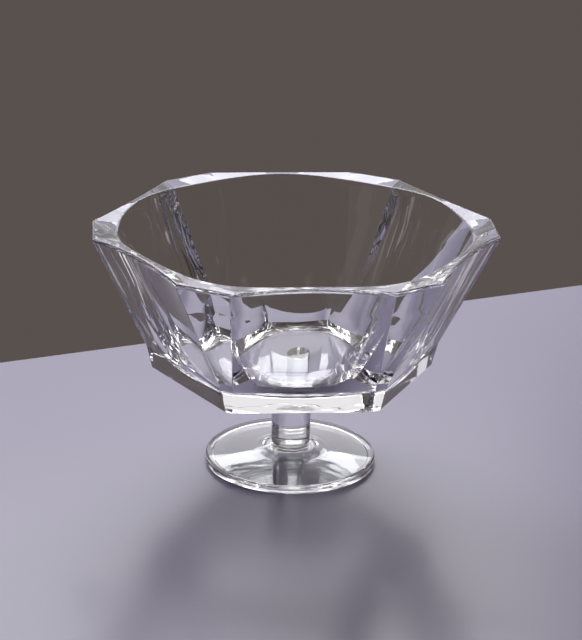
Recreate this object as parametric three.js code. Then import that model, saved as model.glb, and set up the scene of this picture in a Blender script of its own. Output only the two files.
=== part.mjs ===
// Footed fruit bowl in clear glass: a faceted bowl with a round inside, bonded to a stem and a round foot.
// Millimetres, +Z up. The origin is the centre of the rim the foot rests on, and one wide panel faces -Y.

import * as THREE from 'three';

// Foot: a disc with a flare at its middle, hollow underneath, on a flat resting rim
const FOOT_DIAMETER = 108.4;
const FOOT_EDGE_HEIGHT = 5.6;
const FOOT_EDGE_ROUNDING = 2.2;
const FOOT_UNDER_ROUNDING = 1.2;
const FOOT_RISE = 3.0;
const FOOT_HEIGHT = 12.2;
const FOOT_THICKNESS = 4.8;
const FLARE_DIAMETER = 51;
const REST_WIDTH = 3.4;
const SEAT_LEDGE = 0.6;
const SEAT_STEP = 0.6;

// Stem, and the adhesive film at each of its ends
const STEM_DIAMETER = 24.7;
const STEM_LENGTH = 52.2;
const STEM_SHOULDER = 1.6;
const BOND_THICKNESS = 0.3;
const BOND_SETBACK = 0.4;

// Outside of the bowl: a hexagon with cut corners, measured across its wide panels at three heights
const BASE_ACROSS = 155.6;
const BASE_FACET = 5.4;
const BAND_HEIGHT = 15;
const WAIST_ACROSS = 162.7;
const WAIST_FACET = 7.6;
const PANEL_HEIGHT = 75.6;
const RIM_ACROSS = 236;
const RIM_FACET = 35.6;
const RIM_EDGE_ROUNDING = 1.8;

// Scalloped rim: at the middle of each wide panel it is drawn in, and stands higher than at the corner facets
const SCALLOP_DEPTH = 3.4;
const SCALLOP_RISE = 1.3;

// Inside of the bowl: walls measured level at the middle of a wide panel
const RIM_WALL = 6.75;
const WAIST_WALL = 10;
const WALL_CURVE = 300;
const FLOOR_THICKNESS = 5.5;
const FLOOR_CORNER_RADIUS = 30;
const LIP_ROUNDING = 2.4;

// The mouth at the middle of a corner facet: lower and wider than at the middle of a wide panel
const MOUTH_DIP = 2.4;
const MOUTH_SPREAD = 1.6;

// Facets of the curved surfaces
const PANEL_STEPS = 12;
const FACET_STEPS = 4;
const PANEL_LEVELS = 4;
const WALL_LEVELS = 4;
const FOOT_SEGMENTS = 96;
const STEM_SEGMENTS = 64;
const ARC_STEPS = 4;
const FLOOR_ARC_STEPS = 9;
const FLARE_STEPS = 8;

// Levels that follow from the stack of pieces
const SEAT_Z = FOOT_HEIGHT;
const STEM_BOTTOM_Z = SEAT_Z + BOND_THICKNESS;
const STEM_TOP_Z = STEM_BOTTOM_Z + STEM_LENGTH;
const BASE_Z = STEM_TOP_Z + BOND_THICKNESS;
const WAIST_Z = BASE_Z + BAND_HEIGHT;
const RIM_Z = WAIST_Z + PANEL_HEIGHT;
const MOUTH_Z = RIM_Z + SCALLOP_RISE;
const FLOOR_Z = BASE_Z + FLOOR_THICKNESS;

const UP = new THREE.Vector3(0, 0, 1);
const SIXTH = Math.PI / 3;

const glass = new THREE.MeshStandardMaterial({ color: 0xe9edf0, roughness: 0.04, metalness: 0 });
const adhesive = new THREE.MeshStandardMaterial({ color: 0xf2f1ea, roughness: 0.1, metalness: 0 });

// Points of an arc in the (radius, height) plane, with both ends.
function arc(centreR, centreZ, radius, fromAngle, toAngle, steps) {
  const points = [];
  for (let i = 0; i <= steps; i += 1) {
    const angle = THREE.MathUtils.lerp(fromAngle, toAngle, i / steps);
    points.push(new THREE.Vector2(centreR + radius * Math.cos(angle), centreZ + radius * Math.sin(angle)));
  }
  return points;
}

// A solid of revolution about Z from a profile that starts and ends on the axis, lowest point first.
function turned(profile, segments) {
  const geometry = new THREE.LatheGeometry(profile, segments);
  geometry.rotateX(Math.PI / 2);
  return geometry;
}

// A ring of points on a hexagon with cut corners. A scallop of 1 draws in and lifts its wide sides in full.
function cutHexagon(across, facet, z, scallop) {
  const panelDistance = across / 2;
  const facetDistance = (2 * panelDistance - facet / 2) / Math.sqrt(3);
  const halfPanel = 2 * facetDistance - Math.sqrt(3) * panelDistance;
  const start = new THREE.Vector3(-halfPanel, -panelDistance, z);
  const end = new THREE.Vector3(halfPanel, -panelDistance, z);
  const points = [];
  for (let panel = 0; panel < 6; panel += 1) {
    for (let i = 0; i < PANEL_STEPS; i += 1) {
      const share = i / PANEL_STEPS;
      const bow = scallop * (1 - (2 * share - 1) ** 2);
      const point = start.clone().lerp(end, share);
      point.y += SCALLOP_DEPTH * bow;
      point.z += SCALLOP_RISE * bow;
      points.push(point.applyAxisAngle(UP, panel * SIXTH));
    }
    const facetStart = end.clone().applyAxisAngle(UP, panel * SIXTH);
    const facetEnd = start.clone().applyAxisAngle(UP, (panel + 1) * SIXTH);
    for (let i = 0; i < FACET_STEPS; i += 1) {
      points.push(facetStart.clone().lerp(facetEnd, i / FACET_STEPS));
    }
  }
  return points;
}

// A round ring with a point at the angle of each point of another. A wave of 1 dips and spreads it in full.
function roundRing(like, radius, z, wave) {
  return like.map((point) => {
    const angle = Math.atan2(point.y, point.x);
    const corner = wave * (1 + Math.cos(6 * angle)) / 2;
    const reach = radius + MOUTH_SPREAD * corner;
    return new THREE.Vector3(reach * Math.cos(angle), reach * Math.sin(angle), z - MOUTH_DIP * corner);
  });
}

// A closed body through a stack of rings with equal numbers of points. Its two ends are flat.
function lofted(rings) {
  const count = rings[0].length;
  const last = (rings.length - 1) * count;
  const firstCentre = rings.length * count;
  const lastCentre = firstCentre + 1;
  const triangles = [];
  for (let i = 0; i < count; i += 1) {
    const next = (i + 1) % count;
    triangles.push(firstCentre, next, i);
    triangles.push(lastCentre, last + i, last + next);
    for (let row = 0; row < last; row += count) {
      triangles.push(row + i, row + next, row + count + next);
      triangles.push(row + i, row + count + next, row + count + i);
    }
  }
  const centres = [new THREE.Vector3(0, 0, rings[0][0].z), new THREE.Vector3(0, 0, rings.at(-1)[0].z)];
  const geometry = new THREE.BufferGeometry();
  geometry.setFromPoints([...rings.flat(), ...centres]);
  geometry.setIndex(triangles);
  return geometry;
}

function part(name, geometry, material) {
  const mesh = new THREE.Mesh(geometry, material);
  mesh.name = name;
  return mesh;
}

// Outside of the bowl: the steep band, the leaning panels and the rounded outer edge of the rim.
function bowlOutside() {
  const lean = Math.atan((RIM_ACROSS - WAIST_ACROSS) / 2 / PANEL_HEIGHT);
  const edgeZ = RIM_Z - RIM_EDGE_ROUNDING;
  const edgeR = RIM_ACROSS / 2 - RIM_EDGE_ROUNDING * Math.tan(lean) - RIM_EDGE_ROUNDING / Math.cos(lean);
  const edge = arc(edgeR, edgeZ, RIM_EDGE_ROUNDING, -lean, Math.PI / 2, ARC_STEPS);

  const panelTop = edge[0];
  const topFacet = THREE.MathUtils.lerp(WAIST_FACET, RIM_FACET, (panelTop.y - WAIST_Z) / PANEL_HEIGHT);
  const rings = [cutHexagon(BASE_ACROSS, BASE_FACET, BASE_Z, 0)];
  for (let level = 0; level < PANEL_LEVELS; level += 1) {
    const share = level / PANEL_LEVELS;
    const across = THREE.MathUtils.lerp(WAIST_ACROSS, 2 * panelTop.x, share);
    const facet = THREE.MathUtils.lerp(WAIST_FACET, topFacet, share);
    rings.push(cutHexagon(across, facet, THREE.MathUtils.lerp(WAIST_Z, panelTop.y, share), share));
  }
  edge.forEach((point) => rings.push(cutHexagon(2 * point.x, topFacet, point.y, 1)));
  return rings;
}

// Inside of the bowl: a rounded lip, a wall with a long hollow curve, a rounded corner and a flat floor.
function bowlInside(rim) {
  const mouthRadius = RIM_ACROSS / 2 - SCALLOP_DEPTH - RIM_WALL;
  const widening = mouthRadius - WAIST_ACROSS / 2 + WAIST_WALL;
  const rise = MOUTH_Z - WAIST_Z;
  const mouthLean = Math.atan2(widening, rise) - Math.asin(Math.hypot(widening, rise) / 2 / WALL_CURVE);
  const curveR = mouthRadius - WALL_CURVE * Math.cos(mouthLean);
  const curveZ = MOUTH_Z + WALL_CURVE * Math.sin(mouthLean);

  const lipZ = MOUTH_Z - LIP_ROUNDING;
  const lipReach = WALL_CURVE + LIP_ROUNDING;
  const lipLean = Math.asin((curveZ - lipZ) / lipReach);
  const lipR = curveR + lipReach * Math.cos(lipLean);
  const lip = arc(lipR, lipZ, LIP_ROUNDING, Math.PI / 2, Math.PI - lipLean, ARC_STEPS);

  const cornerZ = FLOOR_Z + FLOOR_CORNER_RADIUS;
  const cornerReach = WALL_CURVE - FLOOR_CORNER_RADIUS;
  const cornerLean = Math.asin((curveZ - cornerZ) / cornerReach);
  const cornerR = curveR + cornerReach * Math.cos(cornerLean);
  const corner = arc(cornerR, cornerZ, FLOOR_CORNER_RADIUS, -cornerLean, -Math.PI / 2, FLOOR_ARC_STEPS);

  const wall = arc(curveR, curveZ, WALL_CURVE, -lipLean, -cornerLean, WALL_LEVELS);
  return [
    ...lip.map((point) => roundRing(rim, point.x, point.y, 1)),
    ...wall.slice(1, -1).map((point) => roundRing(rim, point.x, point.y, 0)),
    ...corner.map((point) => roundRing(rim, point.x, point.y, 0)),
  ];
}

function makeBowl() {
  const outside = bowlOutside();
  return lofted([...outside, ...bowlInside(outside.at(-1))]);
}

// Stem: a plain pillar, flat at the top, with a rounded shoulder at the bottom.
function makeStem() {
  const radius = STEM_DIAMETER / 2;
  const shoulder = STEM_SHOULDER;
  return turned([
    new THREE.Vector2(0, STEM_BOTTOM_Z),
    ...arc(radius - shoulder, STEM_BOTTOM_Z + shoulder, shoulder, -Math.PI / 2, 0, ARC_STEPS),
    new THREE.Vector2(radius, STEM_TOP_Z),
    new THREE.Vector2(0, STEM_TOP_Z),
  ], STEM_SEGMENTS);
}

// Foot: a hollow at one thickness, a flat resting rim, a rounded edge, a top that rises to a flare, a round seat.
function makeFoot() {
  const edge = FOOT_DIAMETER / 2;
  const under = FOOT_UNDER_ROUNDING;
  const over = FOOT_EDGE_ROUNDING;
  const seatRadius = STEM_DIAMETER / 2 + SEAT_LEDGE;

  const flareR = FLARE_DIAMETER / 2;
  const flareZ = FOOT_EDGE_HEIGHT + FOOT_RISE;
  const flareEndZ = SEAT_Z - SEAT_STEP;
  const width = flareR - seatRadius - SEAT_STEP;
  const height = flareEndZ - flareZ;
  const radius = (width ** 2 + height ** 2) / (2 * height);
  const turn = Math.asin(width / radius);
  const flare = arc(flareR, flareZ + radius, radius, -Math.PI / 2, -Math.PI / 2 - turn, FLARE_STEPS);

  const restR = edge - under - REST_WIDTH;
  const hollowEdge = FOOT_EDGE_HEIGHT - FOOT_THICKNESS;
  const hollow = flare.map((point) => new THREE.Vector2(point.x, point.y - FOOT_THICKNESS)).reverse();
  return turned([
    new THREE.Vector2(0, flareEndZ - FOOT_THICKNESS),
    ...hollow,
    new THREE.Vector2(restR - hollowEdge, hollowEdge),
    new THREE.Vector2(restR, 0),
    ...arc(edge - under, under, under, -Math.PI / 2, 0, ARC_STEPS),
    ...arc(edge - over, FOOT_EDGE_HEIGHT - over, over, 0, Math.PI / 2, ARC_STEPS),
    ...flare,
    new THREE.Vector2(seatRadius, SEAT_Z),
    new THREE.Vector2(0, SEAT_Z),
  ], FOOT_SEGMENTS);
}

// Adhesive film: a thin disc that stays just inside the ground end of the stem.
function makeBond(bottomZ, endRadius) {
  const radius = endRadius - BOND_SETBACK;
  const geometry = new THREE.CylinderGeometry(radius, radius, BOND_THICKNESS, STEM_SEGMENTS);
  geometry.rotateX(Math.PI / 2);
  geometry.translate(0, 0, bottomZ + BOND_THICKNESS / 2);
  return geometry;
}

const fruitBowl = new THREE.Group();
fruitBowl.add(part('bowl', makeBowl(), glass));
fruitBowl.add(part('stem', makeStem(), glass));
fruitBowl.add(part('foot', makeFoot(), glass));
fruitBowl.add(part('upper_bond', makeBond(STEM_TOP_Z, STEM_DIAMETER / 2), adhesive));
fruitBowl.add(part('lower_bond', makeBond(SEAT_Z, STEM_DIAMETER / 2 - STEM_SHOULDER), adhesive));

export default fruitBowl;
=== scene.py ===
import math

import bmesh
import bpy
from mathutils import Matrix, Vector


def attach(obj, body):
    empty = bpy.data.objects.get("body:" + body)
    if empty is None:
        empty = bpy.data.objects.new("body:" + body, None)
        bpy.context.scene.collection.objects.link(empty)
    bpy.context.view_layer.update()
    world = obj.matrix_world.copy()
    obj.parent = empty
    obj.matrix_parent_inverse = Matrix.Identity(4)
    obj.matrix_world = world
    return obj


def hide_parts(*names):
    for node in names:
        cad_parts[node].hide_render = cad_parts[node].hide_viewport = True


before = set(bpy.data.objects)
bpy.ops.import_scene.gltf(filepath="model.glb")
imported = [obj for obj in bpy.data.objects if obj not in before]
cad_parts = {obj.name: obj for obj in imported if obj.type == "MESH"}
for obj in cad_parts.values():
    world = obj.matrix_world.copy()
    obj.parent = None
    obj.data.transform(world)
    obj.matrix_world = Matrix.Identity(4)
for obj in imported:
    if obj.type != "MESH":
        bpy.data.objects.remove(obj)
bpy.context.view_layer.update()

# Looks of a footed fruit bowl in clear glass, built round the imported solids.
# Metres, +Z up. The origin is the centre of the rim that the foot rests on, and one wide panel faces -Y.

MM = 0.001
ROOT3 = math.sqrt(3.0)

# Foot: a disc that rises to a flare at its middle, hollow underneath, on a flat resting rim
FOOT_RADIUS = 54.2 * MM
FOOT_EDGE_HEIGHT = 5.6 * MM
FOOT_EDGE_ROUNDING = 2.2 * MM
FOOT_UNDER_ROUNDING = 1.2 * MM
FOOT_RISE = 3.0 * MM
FOOT_HEIGHT = 12.2 * MM
FOOT_THICKNESS = 4.8 * MM
FLARE_START_RADIUS = 25.5 * MM
REST_WIDTH = 3.4 * MM
SEAT_LEDGE = 0.6 * MM
SEAT_STEP = 0.6 * MM

# Stem and the adhesive film at each of its ends
STEM_RADIUS = 12.35 * MM
STEM_LENGTH = 52.2 * MM
STEM_SHOULDER = 1.6 * MM
BOND_THICKNESS = 0.3 * MM
BOND_SETBACK = 0.4 * MM
BOND_CONTACT = 0.02 * MM

# Outside of the bowl, across its wide panels and across each corner facet
BASE_ACROSS = 155.6 * MM
BASE_FACET = 5.4 * MM
BAND_HEIGHT = 15.0 * MM
WAIST_ACROSS = 162.7 * MM
WAIST_FACET = 7.6 * MM
PANEL_HEIGHT = 75.6 * MM
RIM_ACROSS = 236.0 * MM
RIM_FACET = 35.6 * MM
RIM_EDGE_ROUNDING = 1.8 * MM
SCALLOP_DEPTH = 3.4 * MM
SCALLOP_RISE = 1.3 * MM

# Inside of the bowl
RIM_WALL = 6.75 * MM
WAIST_WALL = 10.0 * MM
WALL_CURVE = 300.0 * MM
FLOOR_THICKNESS = 5.5 * MM
FLOOR_CORNER_RADIUS = 30.0 * MM
LIP_ROUNDING = 2.4 * MM
MOUTH_DIP = 2.4 * MM
MOUTH_SPREAD = 1.6 * MM

# Polished edges of the bowl
EDGE_POLISH = 0.7 * MM
EDGE_POLISH_FROM = math.radians(9.5)
EDGE_POLISH_STEPS = 3

# Levels that follow from the stack of pieces
STEM_BOTTOM_Z = FOOT_HEIGHT + BOND_THICKNESS
STEM_TOP_Z = STEM_BOTTOM_Z + STEM_LENGTH
BASE_Z = STEM_TOP_Z + BOND_THICKNESS
WAIST_Z = BASE_Z + BAND_HEIGHT
RIM_Z = WAIST_Z + PANEL_HEIGHT
MOUTH_Z = RIM_Z + SCALLOP_RISE
FLOOR_Z = BASE_Z + FLOOR_THICKNESS

# Fineness of the meshes
PANEL_CUTS = 35
FACET_CUTS = 11
PANEL_ROWS = 23
RIM_ARC_STEPS = 12
LAND_ROWS = 5
LIP_ARC_STEPS = 8
WAVE_ROWS = 8
WALL_ROWS = 32
FLOOR_ARC_STEPS = 30
ARC_STEPS = 8
FLARE_STEPS = 16
FOOT_POINTS = 160
STEM_POINTS = 128
WIDE_FACE_WEIGHT = 80
FOOT_SMOOTH_BELOW = math.radians(35)
STEM_SMOOTH_BELOW = math.radians(40)

# Limits that tell parts of a mesh from each other
NEAR = 0.01 * MM
PANEL_EDGE_FROM = 1.2 * RIM_FACET
SQUARE_BELOW = 0.01
IN_LINE_ABOVE = 0.9999
CAP_POINTS_FROM = 100


# Picking parts of the mesh that is open in edit mode

def open_mesh():
    """The mesh that is being edited."""
    return bmesh.from_edit_mesh(bpy.context.object.data)


def pick(kind, test):
    """Selects the vertices, edges or faces that pass a test on their place, and nothing else."""
    bpy.ops.mesh.select_mode(type=kind)
    bpy.ops.mesh.select_all(action="DESELECT")
    mesh = open_mesh()
    parts = {"VERT": mesh.verts, "EDGE": mesh.edges, "FACE": mesh.faces}[kind]
    for part in parts:
        if test(part):
            part.select_set(True)
    mesh.select_flush_mode()
    bmesh.update_edit_mesh(bpy.context.object.data)


def picked():
    """The vertices that are selected now."""
    return [vertex for vertex in open_mesh().verts if vertex.select]


def only_shown():
    bpy.ops.mesh.hide(unselected=True)


def all_shown():
    bpy.ops.mesh.reveal(select=False)


# Growing a piece ring by ring, as on a lathe

def start_disc(name, radius, height, points, turn=0.0):
    """A filled disc to grow a piece from, open in edit mode with its face selected."""
    bpy.ops.object.select_all(action="DESELECT")
    bpy.ops.mesh.primitive_circle_add(
        vertices=points, radius=radius, fill_type="NGON", location=(0, 0, height), rotation=(0, 0, turn)
    )
    piece = bpy.context.object
    piece.name = name
    piece.data.name = name
    bpy.ops.object.transform_apply(location=True, rotation=True, scale=True)
    bpy.ops.object.mode_set(mode="EDIT")
    bpy.ops.mesh.select_mode(type="FACE")
    bpy.ops.mesh.select_all(action="SELECT")
    return piece


def draw_out(scale, lift):
    """Extrudes the selected face, scales the new one about the axis and lifts it."""
    bpy.ops.mesh.extrude_region()
    bpy.ops.transform.resize(value=(scale, scale, 1), center_override=(0, 0, 0))
    bpy.ops.transform.translate(value=(0, 0, lift))


def draw_profile(profile):
    """Extrudes the selected face through rings of (radius, height), from the first one, where it lies."""
    for (radius, height), (next_radius, next_height) in zip(profile, profile[1:]):
        draw_out(next_radius / radius, next_height - height)


def arc(centre_r, centre_z, radius, start, end, steps):
    angles = [start + (end - start) * i / steps for i in range(steps + 1)]
    return [(centre_r + radius * math.cos(a), centre_z + radius * math.sin(a)) for a in angles]


def close_piece(piece, smooth_below):
    bpy.ops.mesh.select_all(action="SELECT")
    bpy.ops.mesh.normals_make_consistent(inside=False)
    bpy.ops.object.mode_set(mode="OBJECT")
    bpy.ops.object.shade_smooth_by_angle(angle=smooth_below)
    return piece


def apply_modifier(piece, kind, **settings):
    bpy.context.view_layer.objects.active = piece
    modifier = piece.modifiers.new(kind.lower(), kind)
    for key, value in settings.items():
        setattr(modifier, key, value)
    bpy.ops.object.modifier_apply(modifier=modifier.name)


# The bowl

def level(edge):
    return abs(edge.verts[0].co.z - edge.verts[1].co.z) < NEAR


def crosses_facet(edge):
    """True for the short level edge across a corner facet, which is square to that corner's direction."""
    middle = (edge.verts[0].co + edge.verts[1].co) / 2
    along = (edge.verts[1].co - edge.verts[0].co).normalized()
    return any(
        abs(along.dot(corner_direction(k))) < SQUARE_BELOW
        and middle.xy.normalized().dot(corner_direction(k).xy) > IN_LINE_ABOVE
        for k in range(6)
    )


def climbs_panel(edge, top):
    """True for an edge that runs from the waist to the top of the panels."""
    heights = [vertex.co.z for vertex in edge.verts]
    return not level(edge) and min(heights) < WAIST_Z + NEAR and max(heights) > top - NEAR


def corner_direction(k):
    return Vector((math.cos(k * math.pi / 3), math.sin(k * math.pi / 3), 0))


def panel_direction(k):
    return Vector((math.cos((k + 0.5) * math.pi / 3), math.sin((k + 0.5) * math.pi / 3), 0))


def set_facets(across, facet_now, facet_wanted, height):
    """Slides the ends of each corner facet along its panels, by scaling it about the uncut corner."""
    for k in range(6):
        corner = corner_direction(k) * (across / ROOT3)
        pick("VERT", lambda v: abs(v.co.z - height) < NEAR and (v.co.xy - corner.xy).length < facet_now)
        scale = facet_wanted / facet_now
        bpy.ops.transform.resize(value=(scale, scale, 1), center_override=(corner.x, corner.y, height))


def draw_level(across, facet, wide_across, wide_facet, height, lift):
    """Draws the top face up to the next level of the cut hexagon."""
    pick("FACE", lambda f: abs(f.calc_center_median().z - height) < NEAR)
    draw_out(wide_across / across, lift)
    set_facets(wide_across, facet * wide_across / across, wide_facet, height + lift)


def scallop_panels(across, facet, height):
    """Draws in and lifts the top of each wide panel at its middle."""
    pick("VERT", lambda v: v.co.z > height - NEAR)
    only_shown()
    facet_distance = (across - facet / 2) / ROOT3
    half_panel = 2 * facet_distance - ROOT3 * across / 2
    for k in range(6):
        out = panel_direction(k)
        middle = out * (across / 2)
        pick("VERT", lambda v: (v.co.xy - middle.xy).length < NEAR)
        bpy.ops.transform.translate(
            value=Vector((0, 0, SCALLOP_RISE)) - out * SCALLOP_DEPTH,
            use_proportional_edit=True,
            proportional_edit_falloff="INVERSE_SQUARE",
            proportional_size=half_panel,
            use_proportional_connected=True,
        )
    all_shown()


def dip_mouth(radius):
    """Lowers and spreads the mouth at the middle of each corner facet."""
    pick("VERT", lambda v: abs(v.co.z - MOUTH_Z) < NEAR and v.co.xy.length < radius + NEAR)
    only_shown()
    for k in range(6):
        out = corner_direction(k)
        middle = out * radius
        pick("VERT", lambda v: (v.co.xy - middle.xy).length < NEAR)
        bpy.ops.transform.translate(
            value=out * MOUTH_SPREAD - Vector((0, 0, MOUTH_DIP)),
            use_proportional_edit=True,
            proportional_edit_falloff="SMOOTH",
            proportional_size=radius * math.pi / 6,
            use_proportional_connected=True,
        )
    all_shown()


def make_ring_round(radius, height):
    """Turns the selected ring into a level circle of a given radius."""
    bpy.ops.transform.resize(value=(1, 1, 0), center_override=(0, 0, height))
    bpy.ops.transform.tosphere(value=1.0)
    scale = radius / picked()[0].co.xy.length
    bpy.ops.transform.resize(value=(scale, scale, 1), center_override=(0, 0, height))
    drift = height - picked()[0].co.z
    bpy.ops.transform.translate(value=(0, 0, drift))


def pick_cap(low):
    """Selects the wide face that closes the open top, above a given height."""
    pick("FACE", lambda f: len(f.verts) > CAP_POINTS_FROM and f.calc_center_median().z > low)


def divide_sides(cuts):
    """Divides the strip between the selected face and the ring that it was drawn from."""
    mesh = open_mesh()
    mesh.edges.index_update()
    sides = {edge.index for edge in mesh.edges if edge.verts[0].select != edge.verts[1].select}
    pick("EDGE", lambda e: e.index in sides)
    bpy.ops.mesh.subdivide(number_cuts=cuts)


def polish_edges(bowl, top):
    """Rounds the edges between panels, corner facets, band and base, and leaves the top edge as it is."""
    pick_cap(top - NEAR)
    bpy.ops.mesh.delete(type="ONLY_FACE")
    bpy.ops.mesh.select_all(action="SELECT")
    bpy.ops.mesh.normals_make_consistent(inside=False)
    bpy.ops.object.mode_set(mode="OBJECT")
    apply_modifier(
        bowl,
        "BEVEL",
        width=EDGE_POLISH,
        segments=EDGE_POLISH_STEPS,
        limit_method="ANGLE",
        angle_limit=EDGE_POLISH_FROM,
    )
    bpy.ops.object.mode_set(mode="EDIT")
    pick("EDGE", lambda e: e.is_boundary)
    bpy.ops.mesh.edge_face_add()


def inside_profiles():
    """The lip, the hollow curve of the wall and the corner at the floor, as arcs that meet without a step."""
    mouth_radius = RIM_ACROSS / 2 - SCALLOP_DEPTH - RIM_WALL
    waist_radius = WAIST_ACROSS / 2 - WAIST_WALL
    widening, rise = mouth_radius - waist_radius, MOUTH_Z - WAIST_Z
    mouth_lean = math.atan2(widening, rise) - math.asin(math.hypot(widening, rise) / (2 * WALL_CURVE))
    curve_r = mouth_radius - WALL_CURVE * math.cos(mouth_lean)
    curve_z = MOUTH_Z + WALL_CURVE * math.sin(mouth_lean)

    lip_z = MOUTH_Z - LIP_ROUNDING
    lip_reach = WALL_CURVE + LIP_ROUNDING
    lip_lean = math.asin((curve_z - lip_z) / lip_reach)
    lip_r = curve_r + lip_reach * math.cos(lip_lean)

    corner_z = FLOOR_Z + FLOOR_CORNER_RADIUS
    corner_reach = WALL_CURVE - FLOOR_CORNER_RADIUS
    corner_lean = math.asin((curve_z - corner_z) / corner_reach)
    corner_r = curve_r + corner_reach * math.cos(corner_lean)

    lip = arc(lip_r, lip_z, LIP_ROUNDING, math.pi / 2, math.pi - lip_lean, LIP_ARC_STEPS)
    wall = arc(curve_r, curve_z, WALL_CURVE, -lip_lean, -corner_lean, WALL_ROWS)
    corner = arc(corner_r, corner_z, FLOOR_CORNER_RADIUS, -corner_lean, -math.pi / 2, FLOOR_ARC_STEPS)
    return lip, wall, corner


def model_bowl():
    bowl = start_disc("bowl_glass", BASE_ACROSS / ROOT3, BASE_Z, 6, turn=math.pi / 6)
    bpy.ops.mesh.select_mode(type="VERT")
    bpy.ops.mesh.bevel(offset=BASE_FACET / ROOT3, offset_type="OFFSET", affect="VERTICES", segments=1)

    # Profile of the rim's outer edge
    slope = (RIM_ACROSS - WAIST_ACROSS) / 2 / PANEL_HEIGHT
    lean = math.atan(slope)
    edge_r = RIM_ACROSS / 2 - RIM_EDGE_ROUNDING * (slope + 1 / math.cos(lean))
    rim_edge = arc(edge_r, RIM_Z - RIM_EDGE_ROUNDING, RIM_EDGE_ROUNDING, -lean, math.pi / 2, RIM_ARC_STEPS)
    top_r, top_z = rim_edge[0]
    top_facet = WAIST_FACET + (RIM_FACET - WAIST_FACET) * (top_z - WAIST_Z) / PANEL_HEIGHT

    # Steep band, then leaning panels
    draw_level(BASE_ACROSS, BASE_FACET, WAIST_ACROSS, WAIST_FACET, BASE_Z, BAND_HEIGHT)
    draw_level(WAIST_ACROSS, WAIST_FACET, 2 * top_r, top_facet, WAIST_Z, top_z - WAIST_Z)

    # Fine divisions of panels and corner facets, then the scallops, then rows up the panels
    pick("EDGE", lambda e: level(e) and e.calc_length() > PANEL_EDGE_FROM)
    bpy.ops.mesh.subdivide(number_cuts=PANEL_CUTS)
    pick("EDGE", lambda e: level(e) and crosses_facet(e))
    bpy.ops.mesh.subdivide(number_cuts=FACET_CUTS)
    scallop_panels(2 * top_r, top_facet, top_z)
    pick("EDGE", lambda e: climbs_panel(e, top_z))
    bpy.ops.mesh.subdivide(number_cuts=PANEL_ROWS)
    polish_edges(bowl, top_z)

    lip, wall, corner = inside_profiles()

    # Rounded outer edge, top of the rim, rounded lip, round wall, rounded corner and flat floor
    pick_cap(top_z - NEAR)
    draw_profile(rim_edge)
    bpy.ops.mesh.extrude_region()
    make_ring_round(lip[0][0], MOUTH_Z)
    dip_mouth(lip[0][0])
    below_mouth = RIM_Z - 2 * MOUTH_DIP
    pick_cap(below_mouth)
    divide_sides(LAND_ROWS)
    pick_cap(below_mouth)
    draw_profile(lip)
    bpy.ops.mesh.extrude_region()
    make_ring_round(*wall[WAVE_ROWS])
    divide_sides(WAVE_ROWS - 1)
    pick_cap(FLOOR_Z)
    draw_profile([*wall[WAVE_ROWS:], *corner[1:]])

    close_piece(bowl, math.pi)
    apply_modifier(bowl, "WEIGHTED_NORMAL", keep_sharp=False, weight=WIDE_FACE_WEIGHT)
    return bowl


# Stem, foot and adhesive films

def model_stem():
    shoulder_r = STEM_RADIUS - STEM_SHOULDER
    shoulder_z = STEM_BOTTOM_Z + STEM_SHOULDER
    shoulder = arc(shoulder_r, shoulder_z, STEM_SHOULDER, -math.pi / 2, 0, ARC_STEPS)
    stem = start_disc("stem_glass", *shoulder[0], STEM_POINTS)
    draw_profile([*shoulder, (STEM_RADIUS, STEM_TOP_Z + BOND_CONTACT)])
    return close_piece(stem, STEM_SMOOTH_BELOW)


def model_foot():
    quarter = math.pi / 2
    lower_r = FOOT_RADIUS - FOOT_UNDER_ROUNDING
    upper_r = FOOT_RADIUS - FOOT_EDGE_ROUNDING
    upper_z = FOOT_EDGE_HEIGHT - FOOT_EDGE_ROUNDING
    lower = arc(lower_r, FOOT_UNDER_ROUNDING, FOOT_UNDER_ROUNDING, -quarter, 0, ARC_STEPS)
    upper = arc(upper_r, upper_z, FOOT_EDGE_ROUNDING, 0, quarter, ARC_STEPS)

    # The flare is an arc that leaves the rising top level and ends at the seat
    seat_radius = STEM_RADIUS + SEAT_LEDGE
    flare_z = FOOT_EDGE_HEIGHT + FOOT_RISE
    width = FLARE_START_RADIUS - seat_radius - SEAT_STEP
    height = FOOT_HEIGHT - SEAT_STEP - flare_z
    radius = (width ** 2 + height ** 2) / (2 * height)
    turn = math.asin(width / radius)
    flare = arc(FLARE_START_RADIUS, flare_z + radius, radius, -quarter, -quarter - turn, FLARE_STEPS)
    seat = arc(seat_radius, FOOT_HEIGHT - SEAT_STEP, SEAT_STEP, 0, quarter, ARC_STEPS)

    # The hollow follows the flare at one thickness and ends at the resting rim
    rest_radius = lower_r - REST_WIDTH
    hollow_edge = FOOT_EDGE_HEIGHT - FOOT_THICKNESS
    hollow = [(r, z - FOOT_THICKNESS) for r, z in reversed(flare)]
    hollow += [(rest_radius - hollow_edge, hollow_edge), (rest_radius, 0.0)]

    foot = start_disc("foot_glass", *hollow[0], FOOT_POINTS)
    draw_profile([*hollow, *lower, *upper, *flare[:-1], *seat])
    return close_piece(foot, FOOT_SMOOTH_BELOW)


def model_bond(name, bottom, end_radius):
    """A thin film set back from the end of the stem, in contact with the glass on both sides."""
    radius = end_radius - BOND_SETBACK
    bond = start_disc(name, radius, bottom - BOND_CONTACT, STEM_POINTS)
    draw_out(1.0, BOND_THICKNESS + 2 * BOND_CONTACT)
    return close_piece(bond, STEM_SMOOTH_BELOW)


# Materials

TINT_PATCHES = 9.0
HAZE_PATCHES = 24.0
HAZE_FROM = 0.52
HAZE_FULL = 0.74
FLOOR_PATCHES = 6.0
SMOOTH_DETAIL = 1.0
FINE_DETAIL = 4.0
GLASS_IOR = 1.5
RESIN_IOR = 1.49


def new_material(name):
    material = bpy.data.materials.new(name)
    material.use_nodes = True
    tree = material.node_tree
    return material, tree, tree.nodes["Principled BSDF"]


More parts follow.
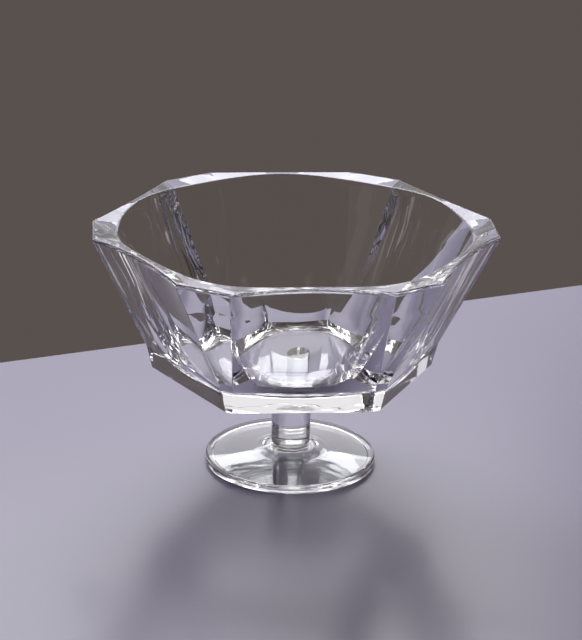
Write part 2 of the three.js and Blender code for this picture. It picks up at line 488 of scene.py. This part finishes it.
def new_group(name, inputs, outputs):
    """A node group with plain number sockets, and its ends."""
    group = bpy.data.node_groups.new(name, "ShaderNodeTree")
    for label, value in inputs:
        group.interface.new_socket(label, in_out="INPUT", socket_type="NodeSocketFloat").default_value = value
    for label in outputs:
        group.interface.new_socket(label, in_out="OUTPUT", socket_type="NodeSocketFloat")
    start = group.nodes.new("NodeGroupInput")
    end = group.nodes.new("NodeGroupOutput")
    return group, start, end


def add_noise(tree, scale, detail):
    """A noise on the piece's own coordinates. The scale is a number or a socket."""
    place = tree.nodes.new("ShaderNodeTexCoord")
    noise = tree.nodes.new("ShaderNodeTexNoise")
    noise.inputs["Detail"].default_value = detail
    tree.links.new(place.outputs["Object"], noise.inputs["Vector"])
    if isinstance(scale, bpy.types.NodeSocket):
        tree.links.new(scale, noise.inputs["Scale"])
    else:
        noise.inputs["Scale"].default_value = scale
    return noise.outputs["Fac"]


def add_range(tree, value, low, high, new_low, new_high):
    """Stretches a value from one range to another. Each limit is a number or a socket."""
    node = tree.nodes.new("ShaderNodeMapRange")
    for label, number in (("From Min", low), ("From Max", high), ("To Min", new_low), ("To Max", new_high)):
        if isinstance(number, bpy.types.NodeSocket):
            tree.links.new(number, node.inputs[label])
        else:
            node.inputs[label].default_value = number
    tree.links.new(value, node.inputs["Value"])
    return node.outputs["Result"]


def make_ripple():
    """Slow waves that the mould and the fire polish leave on glass, as a height from 0 to 1."""
    group, start, end = new_group("polish_ripple", [("Waves per metre", 40.0)], ["Height"])
    waves = add_noise(group, start.outputs["Waves per metre"], SMOOTH_DETAIL)
    group.links.new(waves, end.inputs["Height"])
    return group


def make_haze():
    """Patches of faint haze from handling, as a roughness between two values."""
    group, start, end = new_group("handling_haze", [("Clean", 0.0), ("Hazy", 0.03)], ["Roughness"])
    patches = add_noise(group, HAZE_PATCHES, FINE_DETAIL)
    haze = add_range(group, patches, HAZE_FROM, HAZE_FULL, start.outputs["Clean"], start.outputs["Hazy"])
    group.links.new(haze, end.inputs["Roughness"])
    return group


def add_group(tree, group, **values):
    """Uses a node group. Each keyword is the label of an input, with _ for a space."""
    node = tree.nodes.new("ShaderNodeGroup")
    node.node_tree = group
    for label, value in values.items():
        node.inputs[label.replace("_", " ")].default_value = value
    return node


def add_tint(tree, amount, first, second):
    """A colour that wanders between two tints."""
    mix = tree.nodes.new("ShaderNodeMix")
    mix.data_type = "RGBA"
    mix.inputs["A"].default_value = (*first, 1)
    mix.inputs["B"].default_value = (*second, 1)
    tree.links.new(amount, mix.inputs["Factor"])
    return mix.outputs["Result"]


def add_bump(tree, height, distance):
    bump = tree.nodes.new("ShaderNodeBump")
    bump.inputs["Distance"].default_value = distance
    tree.links.new(height, bump.inputs["Height"])
    return bump.outputs["Normal"]


def clear_body(name, tints, ior, waves, wave_height, hazy):
    """A clear, polished material with slow waves in its surface, faint haze and a slightly wandering tint."""
    material, tree, surface = new_material(name)
    surface.inputs["IOR"].default_value = ior
    surface.inputs["Transmission Weight"].default_value = 1.0
    tint = add_tint(tree, add_noise(tree, TINT_PATCHES, SMOOTH_DETAIL), *tints)
    tree.links.new(tint, surface.inputs["Base Color"])
    haze = add_group(tree, handling_haze, Clean=0.0, Hazy=hazy)
    tree.links.new(haze.outputs["Roughness"], surface.inputs["Roughness"])
    ripple = add_group(tree, polish_ripple, Waves_per_metre=waves)
    bump = add_bump(tree, ripple.outputs["Height"], wave_height)
    tree.links.new(bump, surface.inputs["Normal"])
    return material


def plain_floor(name, tints, clean, worn):
    """A satin floor in one pale colour, slightly cloudy."""
    material, tree, surface = new_material(name)
    tint = add_tint(tree, add_noise(tree, FLOOR_PATCHES, FINE_DETAIL), *tints)
    tree.links.new(tint, surface.inputs["Base Color"])
    haze = add_group(tree, handling_haze, Clean=clean, Hazy=worn)
    tree.links.new(haze.outputs["Roughness"], surface.inputs["Roughness"])
    return material


def dress(piece, node, material):
    piece.data.materials.clear()
    piece.data.materials.append(material)
    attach(piece, "root")
    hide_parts(node)


polish_ripple = make_ripple()
handling_haze = make_haze()
glass_tints = (0.995, 0.995, 0.99), (0.975, 0.985, 0.985)
resin_tints = (0.985, 0.98, 0.955), (0.965, 0.955, 0.915)
cast_glass = clear_body(
    "clear_cast_glass", glass_tints, GLASS_IOR, waves=34.0, wave_height=0.25 * MM, hazy=0.02
)
drawn_glass = clear_body(
    "clear_drawn_glass", glass_tints, GLASS_IOR, waves=55.0, wave_height=0.08 * MM, hazy=0.02
)
resin = clear_body("clear_resin", resin_tints, RESIN_IOR, waves=160.0, wave_height=0.05 * MM, hazy=0.06)

dress(model_bowl(), "bowl", cast_glass)
dress(model_stem(), "stem", drawn_glass)
dress(model_foot(), "foot", drawn_glass)
upper_bond = model_bond("upper_bond_film", STEM_TOP_Z, STEM_RADIUS)
dress(upper_bond, "upper_bond", resin)
lower_bond = model_bond("lower_bond_film", FOOT_HEIGHT, STEM_RADIUS - STEM_SHOULDER)
dress(lower_bond, "lower_bond", resin)

# Floor, turned so that its back edge lies as in the photograph
FLOOR_SIZE = 1.4
FLOOR_BACK = 0.22
FLOOR_TURN = 0.323
FLOOR_GAP = 0.05 * MM
floor_shift = FLOOR_BACK - FLOOR_SIZE / 2
bpy.ops.object.select_all(action="DESELECT")
bpy.ops.mesh.primitive_plane_add(
    size=FLOOR_SIZE,
    location=(-math.sin(FLOOR_TURN) * floor_shift, math.cos(FLOOR_TURN) * floor_shift, -FLOOR_GAP),
    rotation=(0, 0, FLOOR_TURN),
)
floor = bpy.context.object
floor.name = "pale_floor"
floor_tints = (0.51, 0.465, 0.67), (0.55, 0.505, 0.71)
floor.data.materials.append(plain_floor("pale_floor", floor_tints, clean=0.28, worn=0.33))

# Lamps: a large one above and behind, a wide one low behind, and a faint one at the left
MIDDLE = Vector((0, 0, 0.1))
COOL_WHITE = (0.95, 0.96, 1.0)
WHITE = (0.97, 0.97, 1.0)


def soft_box(name, place, size, power, colour):
    """A large soft lamp that faces the middle of the bowl and isn't seen itself."""
    light = bpy.data.lights.new(name, "AREA")
    light.shape = "RECTANGLE"
    light.size, light.size_y = size
    light.energy = power
    light.color = colour
    lamp = bpy.data.objects.new(name, light)
    bpy.context.scene.collection.objects.link(lamp)
    lamp.location = place
    lamp.rotation_euler = (MIDDLE - Vector(place)).to_track_quat("-Z", "Y").to_euler()
    lamp.visible_camera = False


soft_box("back_light", place=(-0.15, 1.75, 1.66), size=(1.7, 1.45), power=32, colour=COOL_WHITE)
soft_box("low_light", place=(-0.1, 2.2, 0.62), size=(3.2, 1.0), power=8.3, colour=WHITE)
soft_box("left_light", place=(-1.5, -0.5, 0.9), size=(1.0, 1.0), power=0.8, colour=WHITE)

# Surroundings: a plain dim backdrop that grows darker towards the front
BACKDROP_COLOUR = (0.10, 0.082, 0.075)
FRONT_COLOUR = (0.030, 0.024, 0.022)
FRONT_UNTIL = 0.35
BACKDROP_FROM = 0.65

world = bpy.data.worlds.new("studio")
bpy.context.scene.world = world
world.use_nodes = True
nodes, links = world.node_tree.nodes, world.node_tree.links
direction = nodes.new("ShaderNodeTexCoord")
split = nodes.new("ShaderNodeSeparateXYZ")
links.new(direction.outputs["Object"], split.inputs["Vector"])
shade = nodes.new("ShaderNodeValToRGB")
front, backdrop = shade.color_ramp.elements
front.position, front.color = FRONT_UNTIL, (*FRONT_COLOUR, 1)
backdrop.position, backdrop.color = BACKDROP_FROM, (*BACKDROP_COLOUR, 1)
depth = nodes.new("ShaderNodeMapRange")
depth.inputs["From Min"].default_value = -1.0
links.new(split.outputs["Y"], depth.inputs["Value"])
links.new(depth.outputs["Result"], shade.inputs["Fac"])
links.new(shade.outputs["Color"], nodes["Background"].inputs["Color"])

# The camera stands as in the photograph
IMAGE_LONG_SIDE = 640
SENSOR = 36.0
CAMERA_DISTANCE = 1.38437
CAMERA_ELEVATION = 0.3620
CAMERA_TURN = 0.0939
CAMERA_ROLL = 0.0244
FOCAL_PIXELS = 2215.7
AIM_OFFSET = (-1.62 * MM, -4.75 * MM)
VIEW_NEAREST = 0.05
VIEW_FARTHEST = 50.0
CLEAR_BOUNCES = 32
GLOSSY_BOUNCES = 16

away = Vector((
    -math.sin(CAMERA_TURN) * math.cos(CAMERA_ELEVATION),
    -math.cos(CAMERA_TURN) * math.cos(CAMERA_ELEVATION),
    math.sin(CAMERA_ELEVATION),
))


def camera_axes(back):
    """The camera's right and up directions when its back points a given way."""
    right = Vector((0, 0, 1)).cross(back).normalized()
    up = back.cross(right)
    roll = Matrix.Rotation(CAMERA_ROLL, 3, back)
    return roll @ right, roll @ up


camera_place = MIDDLE + away * CAMERA_DISTANCE
right, up = camera_axes(away)
aim = MIDDLE + right * AIM_OFFSET[0] + up * AIM_OFFSET[1]
back = (camera_place - aim).normalized()
right, up = camera_axes(back)

camera_data = bpy.data.cameras.new("camera")
camera_data.sensor_width = SENSOR
camera_data.lens = FOCAL_PIXELS * SENSOR / IMAGE_LONG_SIDE
camera_data.clip_start = VIEW_NEAREST
camera_data.clip_end = VIEW_FARTHEST
camera = bpy.data.objects.new("camera", camera_data)
bpy.context.scene.collection.objects.link(camera)
camera.matrix_world = Matrix((
    (right.x, up.x, back.x, camera_place.x),
    (right.y, up.y, back.y, camera_place.y),
    (right.z, up.z, back.z, camera_place.z),
    (0, 0, 0, 1),
))
bpy.context.scene.camera = camera

bpy.context.scene.view_settings.view_transform = "Standard"
bpy.context.scene.cycles.max_bounces = CLEAR_BOUNCES
bpy.context.scene.cycles.transmission_bounces = CLEAR_BOUNCES
bpy.context.scene.cycles.glossy_bounces = GLOSSY_BOUNCES
